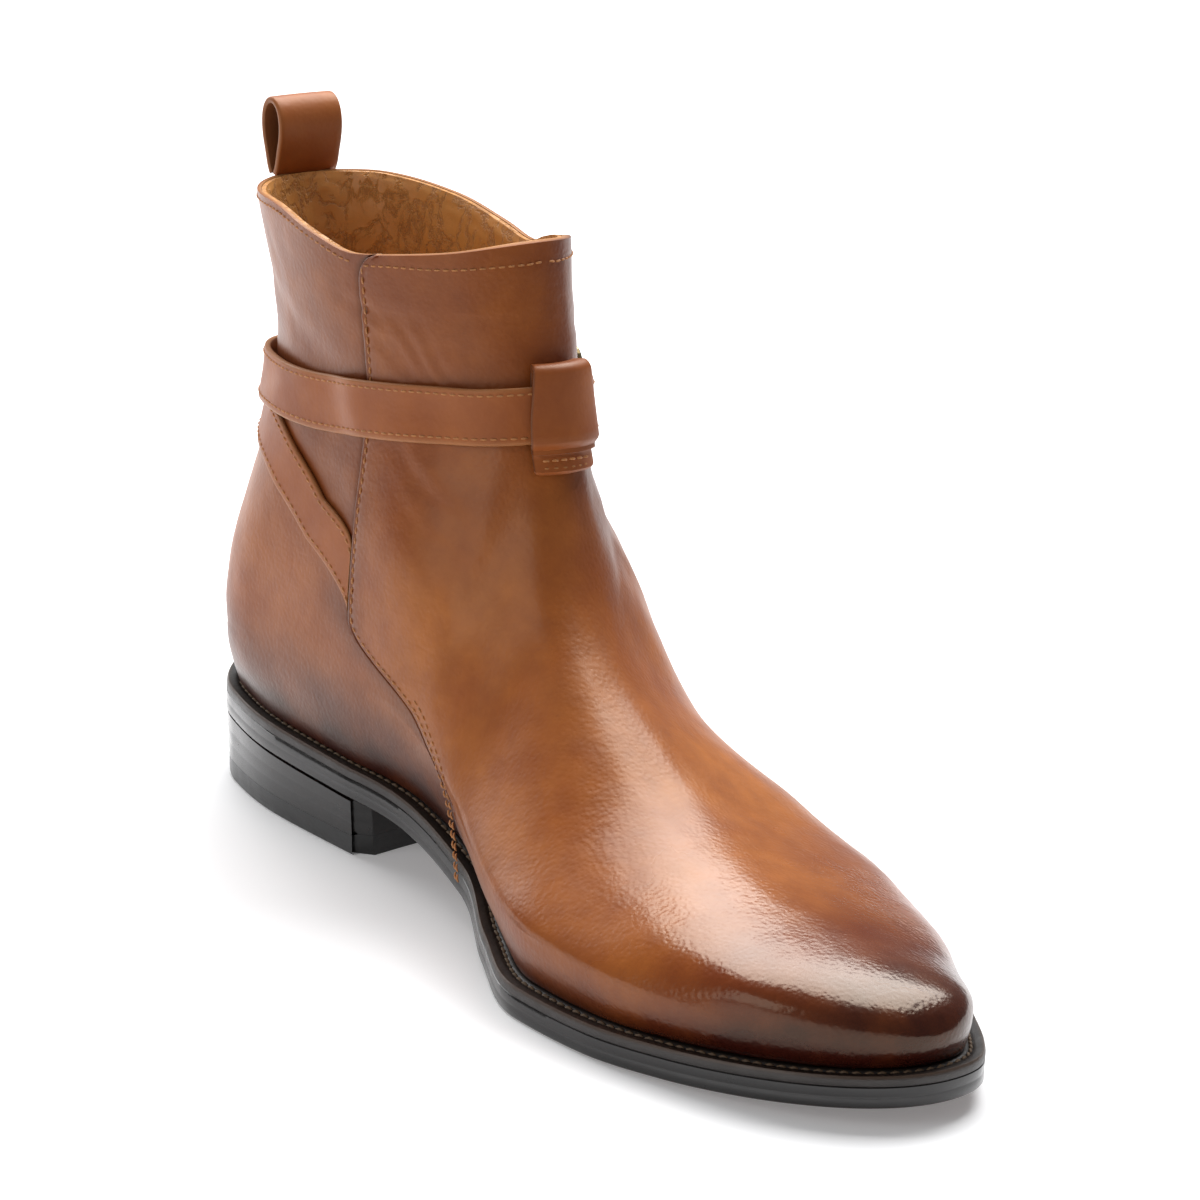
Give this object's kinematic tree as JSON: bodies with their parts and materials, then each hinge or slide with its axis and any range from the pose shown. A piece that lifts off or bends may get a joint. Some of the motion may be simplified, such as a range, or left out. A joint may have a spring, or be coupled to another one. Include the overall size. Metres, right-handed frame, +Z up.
{
  "type": "jodhpur boot",
  "caption": "Ankle-high leather jodhpur boot for the left foot, with a wrap-around buckled strap, a keeper, a pull loop and a stacked heel.",
  "frame": {"origin": "centre of the heel base on the floor, half way between the back of the sole and the heel's front face", "axes": "+X towards the toe, +Y to the outer side of the left foot, +Z up"},
  "size_m": [0.3023, 0.1068, 0.1797],
  "materials": {
    "upper_leather": "burnished, satin to glossy at the toe",
    "strap_leather": "satin, light raw edges",
    "loop_leather": "satin",
    "lining_leather": "matt",
    "welt_leather": "satin, wheeled",
    "sole_leather": "edges dark and polished",
    "lift_rubber": "matt",
    "buckle_brass": "antique, satin"
  },
  "bodies": {
    "root": {"upper": "upper_leather", "insole": "lining_leather", "welt": "welt_leather", "outsole": "sole_leather", "heel_stack": "sole_leather", "top_lift": "lift_rubber", "long_strap": "strap_leather", "buckle_strap": "strap_leather", "keeper_loop": "strap_leather", "pull_loop": "loop_leather", "buckle_frame": "buckle_brass", "buckle_prong": "buckle_brass"}
  },
  "joints": []
}
